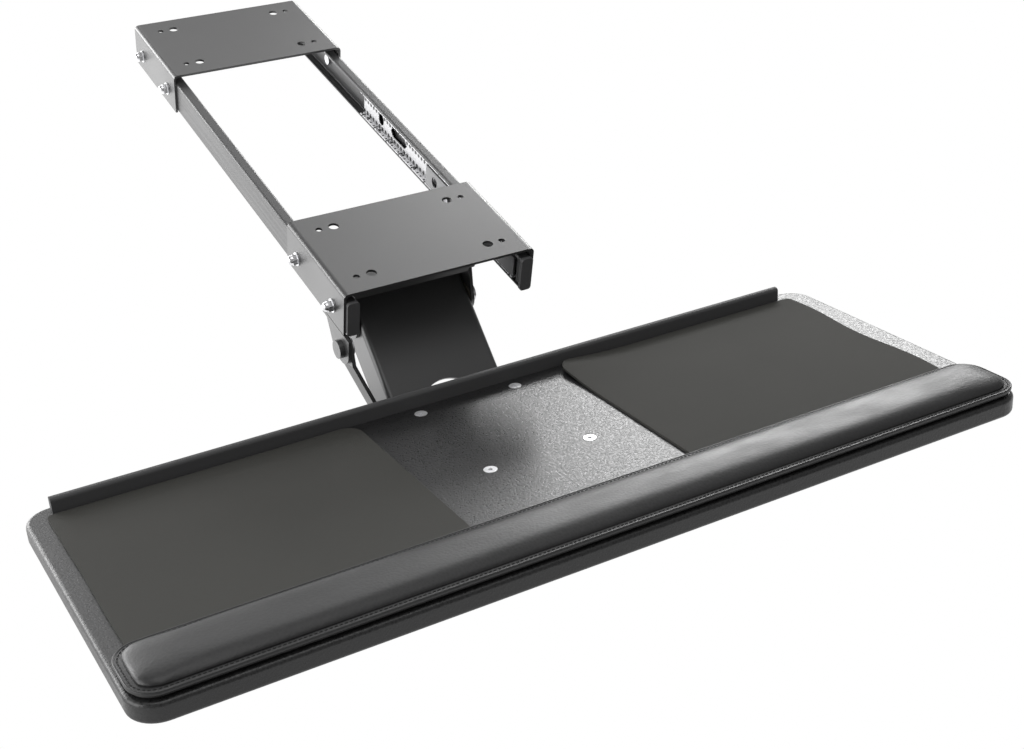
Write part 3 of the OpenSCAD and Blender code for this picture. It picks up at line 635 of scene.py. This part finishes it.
def swollen_points(obj):
    """Blows the mesh up with its foot pinned, and returns where its points end."""
    foot = obj.vertex_groups.new(name="foot")
    foot.add([v.index for v in obj.data.vertices if v.co.z < (HEM_TOP + FOOT_RISE) * MM], 1.0, "REPLACE")
    cloth = obj.modifiers.new("blow_up", "CLOTH")
    for name, value in COVER.items():
        setattr(cloth.settings, name, value)
    cloth.settings.effector_weights.gravity = 0
    cloth.point_cache.frame_start, cloth.point_cache.frame_end = 1, LAST_FRAME
    for step in range(1, LAST_FRAME + 1):
        bpy.context.scene.frame_set(step)
    swollen = obj.evaluated_get(bpy.context.evaluated_depsgraph_get()).to_mesh()
    ends = [v.co.copy() for v in swollen.vertices]
    obj.modifiers.remove(cloth)
    bpy.context.scene.frame_set(1)
    return ends


for vertex, end in zip(cushion.data.vertices, swollen_points(cushion)):
    move = end - vertex.co
    share = min(1.0, SWELL_LIMIT * MM / max(move.length, 1e-9))
    vertex.co = vertex.co + move * share
smooth(cushion, 6)
finer = cushion.modifiers.new("finer", "SUBSURF")
finer.levels = finer.render_levels = 1
apply_modifiers(cushion)
put_on_tray(cushion, slot_finish["leather"])
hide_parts("wrist_rest")

# %% [markdown]
# ## Wrist rest: piping and welt
# A thin leather cord is sewn into the hem's edge, and a second one runs round the base below. Both
# follow the hem's outline at some inset. A plane with rounded corners loses its face, becomes a curve,
# and the curve's bevel makes it a round cord, which is simpler than sweeping a circle by hand.

# %% Wrist rest: piping and welt
def seam_line(name, inset, height, corner):
    """A closed curve that follows the hem at a given inset."""
    bpy.ops.object.select_all(action="DESELECT")
    bpy.ops.mesh.primitive_plane_add(size=1)
    obj = bpy.context.object
    obj.name = name
    width, depth = 2 * (REST_X - inset), REST_REAR - REST_FRONT - 2 * inset
    edit(
        resize((width * MM, depth * MM, 1)),
        shift((0, REST_MID * MM, height * MM)),
        lambda: bpy.ops.mesh.bevel(offset=corner * MM, segments=9, affect="VERTICES"),
        lambda: bpy.ops.mesh.delete(type="ONLY_FACE"),
    )
    select_only(obj)
    bpy.ops.object.convert(target="CURVE")
    return bpy.context.object


def leather_cord(name, inset, height, radius, corner):
    path = seam_line(name, inset, height, corner)
    path.data.dimensions = "3D"
    path.data.bevel_depth = radius * MM
    path.data.bevel_resolution = 3
    select_only(path)
    bpy.ops.object.convert(target="MESH")
    return bpy.context.object


piping = leather_cord("hem_piping", inset=0.8, height=HEM_TOP - 0.4, radius=0.8, corner=17.2)
put_on_tray(piping, slot_finish["leather"])
welt = leather_cord("base_welt", inset=2.4, height=2.2, radius=0.7, corner=15.6)
put_on_tray(welt, slot_finish["leather"])

# %% [markdown]
# ## Wrist rest: stitches
# Some four hundred short stitches run round the hem, just inside the piping. One is modelled, as a stretched
# bead of few faces. An Array modifier repeats it until the seam is full, and a Curve modifier bends the row
# round the corners.

# %% Wrist rest: stitches
STITCH_HALF = (1.25, 0.42, 0.42)
STITCH_PITCH = 1.3


def stitches(name, inset, height, corner):
    path = seam_line(name + "_line", inset, height, corner)
    bpy.ops.object.select_all(action="DESELECT")
    bpy.ops.mesh.primitive_uv_sphere_add(segments=8, ring_count=5, radius=1)
    obj = bpy.context.object
    obj.name = name
    edit(resize([half * MM for half in STITCH_HALF]))
    row = obj.modifiers.new("row", "ARRAY")
    row.fit_type = "FIT_CURVE"
    row.curve = path
    row.relative_offset_displace = (STITCH_PITCH, 0, 0)
    follow = obj.modifiers.new("follow", "CURVE")
    follow.object = path
    apply_modifiers(obj)
    bpy.data.objects.remove(path)
    return obj


seam = stitches("hem_stitches", inset=2.9, height=HEM_TOP + 0.05, corner=15.1)
put_on_tray(seam, stitch_finish)

# %% [markdown]
# ## Side pads: the cut mat
# Two thin mats lie on the board, left and right of the screws. A fine grid gets its thickness from Solidify,
# and a block with rounded corners trims it, as a punch would. The trim leaves each long wall as one face
# with many corners, which would fold badly when the mat is bent, so it is cut into triangles while it is
# still flat. The inner rear corner is rounder than the others.

# %% Side pads: the cut mat
PAD_THICK = 1.9
PAD_CORNER, PAD_ROUND_CORNER = 4, 14
PUNCH_BELOW, PUNCH_ABOVE = 3, 6
TRIM = 2
(_, PAD_FRONT, _), (_, PAD_REAR, _) = tray_box("left_pad")


def pad_punch(name, inner, outer):
    def round_corner(a, b):
        return upright(a, b) and abs(a.x - inner) < 1 and a.y > PAD_REAR - 1

    low = (min(inner, outer), PAD_FRONT, -PUNCH_BELOW)
    high = (max(inner, outer), PAD_REAR, PUNCH_ABOVE)
    punch = block(name, low, high)
    bevel_where(punch, lambda a, b: upright(a, b) and not round_corner(a, b), PAD_CORNER, 5)
    bevel_where(punch, round_corner, PAD_ROUND_CORNER, 8)
    return punch


def cut_mat(name, inner, outer):
    punch = pad_punch(name + "_punch", inner, outer)
    bpy.ops.object.select_all(action="DESELECT")
    bpy.ops.mesh.primitive_grid_add(x_subdivisions=56, y_subdivisions=44, size=1)
    mat = bpy.context.object
    mat.name = name
    width, depth = abs(outer - inner) + TRIM, PAD_REAR - PAD_FRONT + TRIM
    middle = ((inner + outer) / 2 * MM, (PAD_REAR + PAD_FRONT) / 2 * MM, 0)
    edit(resize((width * MM, depth * MM, 1)), shift(middle))
    thick = mat.modifiers.new("thick", "SOLIDIFY")
    thick.thickness = PAD_THICK * MM
    thick.offset = 1
    trim = mat.modifiers.new("trim", "BOOLEAN")
    trim.operation = "INTERSECT"
    trim.object = punch
    apply_modifiers(mat)
    bpy.data.objects.remove(punch)
    edit(lambda: bpy.ops.mesh.quads_convert_to_tris(quad_method="BEAUTY", ngon_method="BEAUTY"))
    return mat


print("mats", round(PAD_REAR - PAD_FRONT, 1), "mm deep")

# %% [markdown]
# ## Side pads: how they lie
# The left mat lies flat. The right one sits nearer the middle, its inner rear corner has come up a
# little, and its outer edge runs in a slow wave. Proportional editing would do this by hand; two vertex
# groups, each with a Displace modifier, say the same in numbers: one lifts a corner, the other sways an
# edge.

# %% Side pads: how they lie
CURL_REACH = 70
SWAY_REACH = 60
WAVE_START, WAVE_PITCH = 60, 19.5
# How far each mat's corner is lifted and its outer edge sways outwards
LIE = {"left": (0.6, 0.5), "right": (4.5, 4)}


def displace(obj, label, direction, distance, group):
    push = obj.modifiers.new(label, "DISPLACE")
    push.direction = direction
    push.mid_level = 0
    push.strength = distance * MM
    push.vertex_group = group.name


def lay_down(mat, corner, outer, lift, drift):
    curl = mat.vertex_groups.new(name="curl")
    sway = mat.vertex_groups.new(name="sway")
    for vertex in mat.data.vertices:
        near_corner = max(0.0, 1 - (vertex.co.xy / MM - corner).length / CURL_REACH)
        curl.add([vertex.index], near_corner**2, "REPLACE")
        near_edge = max(0.0, 1 - abs(vertex.co.x / MM - outer) / SWAY_REACH)
        wave = 0.5 + 0.5 * math.sin((vertex.co.y / MM - WAVE_START) / WAVE_PITCH)
        sway.add([vertex.index], near_edge**2 * wave, "REPLACE")
    displace(mat, "rise", "Z", lift, curl)
    displace(mat, "shift", "X", drift, sway)
    apply_modifiers(mat)


for hand, (lift, drift) in LIE.items():
    (left_edge, _, _), (right_edge, _, _) = tray_box(hand + "_pad")
    inner, outer = sorted((left_edge, right_edge), key=abs)
    pad = cut_mat("soft_" + hand + "_pad", inner, outer)
    lay_down(pad, Vector((inner, PAD_REAR)), outer, lift, math.copysign(drift, outer))
    put_on_tray(pad, slot_finish["mat"])
    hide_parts(hand + "_pad")

# %% [markdown]
# ## White floor
# The tray is shown on pure white. A floor bright enough to look white under lamps would also light the
# tray from below. A Light Path node parts the two: to the camera, and in reflections, the floor glows at
# strength 1, which is exactly white; to every other ray it is a pale, matte surface.

# %% White floor
FLOOR_SIZE, FLOOR_HEIGHT = 80, -0.34


def white_stage(name):
    skin = Finish(name, Roughness=0.9)
    skin.feed(Base_Color=skin.noise(30, 2, 0.5).tint((0.8, 0.8, 0.8, 1), (0.86, 0.86, 0.86, 1)))
    seen = skin.node("ShaderNodeLightPath", output="Is Camera Ray")
    mirrored = skin.node("ShaderNodeLightPath", output="Is Glossy Ray")
    pale = Wire(skin, skin.shader.outputs[0])
    glow = skin.node("ShaderNodeEmission")
    mixed = skin.node("ShaderNodeMixShader", None, {0: seen.math("MAXIMUM", mirrored), 1: pale, 2: glow})
    skin.plug(mixed, skin.tree.nodes["Material Output"].inputs["Surface"])
    return skin.material


bpy.ops.mesh.primitive_plane_add(size=FLOOR_SIZE, location=(0, 0, FLOOR_HEIGHT))
floor = bpy.context.object
floor.name = "floor"
floor.data.materials.append(white_stage("white_floor"))
print("floor at", FLOOR_HEIGHT, "m")

# %% [markdown]
# ## Sky
# Past the floor's edge the camera sees the world, which is white to it as well. On the tray the sky is
# kept low, so that the lamps, and not an even glow, draw its shape.

# %% Sky
SKY_ON_TRAY = 0.3

studio = bpy.data.worlds.new("studio")
bpy.context.scene.world = studio
studio.use_nodes = True
sky = Board(studio.node_tree)
background = studio.node_tree.nodes["Background"]
seen = sky.node("ShaderNodeLightPath", output="Is Camera Ray")
sky.plug((1, 1, 1, 1), background.inputs["Color"])
sky.plug(SKY_ON_TRAY + seen * (1 - SKY_ON_TRAY), background.inputs["Strength"])
print("sky strength on the tray:", SKY_ON_TRAY)

# %% [markdown]
# ## Lamps
# Satin black shows almost nothing but reflections, so each lamp is a soft box placed where a surface mirrors
# it: to the left for the flanges and the stay, overhead for the tops, and behind for the sheen on the board
# and the cushion. Point lamps would leave small hard spots instead. Each box is aimed at a point.

# %% Lamps
LAMPS = (
    ("left_box", (-2.2, 0.2, 0.5), (0, 0, -0.1), (2.0, 1.4), 34),
    ("left_back_box", (-1.1, 2.0, 0.0), (-0.1, 0.1, -0.05), (1.8, 0.7), 34),
    ("left_floor_box", (-0.42, 0.72, -0.335), (-0.42, 0.72, 1), (0.7, 1.0), 2.8),
    ("back_box", (-0.2, 2.5, 0.65), (-0.2, -0.1, -0.1), (0.9, 0.5), 4),
    ("top_box", (-0.2, -0.2, 2.2), (0, 0, -0.1), (1.6, 1.6), 14),
    ("right_back_box", (1.0, 1.75, 1.5), (0.1, -0.1, -0.1), (2.6, 1.2), 13),
    ("right_low_box", (1.48, 1.6, 0.46), (0.15, -0.2, -0.1), (1.15, 0.5), 25),
)


def soft_box(name, place, target, size, watts):
    data = bpy.data.lights.new(name, "AREA")
    data.shape = "RECTANGLE"
    data.size, data.size_y = size
    data.energy = watts
    lamp = bpy.data.objects.new(name, data)
    bpy.context.scene.collection.objects.link(lamp)
    aim = (Vector(target) - Vector(place)).to_track_quat("-Z", "Y")
    lamp.matrix_world = Matrix.Translation(place) @ aim.to_matrix().to_4x4()


for lamp in LAMPS:
    soft_box(*lamp)
print(len(LAMPS), "soft boxes,", sum(lamp[-1] for lamp in LAMPS), "W in all")

# %% [markdown]
# ## Camera
# The camera stands where the photograph was taken from. Its place, its three axes and its focal length in
# pixels were fitted to the board's edges and the brackets' holes. Blender wants millimetres of lens for a
# sensor, so the focal length is scaled from the picture's width to the sensor's.

# %% Camera
PICTURE_WIDTH_PX, FOCAL_PX = 1024, 1526.78
SENSOR_WIDTH = 36
EYE = (-0.44900, -0.84815, 0.63624)
RIGHT = Vector((0.86784, -0.49073, 0.07769))
DOWN = Vector((-0.25430, -0.57307, -0.77905))
AHEAD = Vector((0.42682, 0.65634, -0.62213))

lens = bpy.data.cameras.new("photo_camera")
lens.sensor_width = SENSOR_WIDTH
lens.lens = FOCAL_PX * SENSOR_WIDTH / PICTURE_WIDTH_PX
camera = bpy.data.objects.new("photo_camera", lens)
bpy.context.scene.collection.objects.link(camera)
turn = Matrix((RIGHT, -DOWN, -AHEAD)).transposed().to_4x4()
camera.matrix_world = Matrix.Translation(EYE) @ turn
bpy.context.scene.camera = camera
bpy.context.scene.view_settings.view_transform = "Standard"
print("lens", round(lens.lens, 1), "mm")
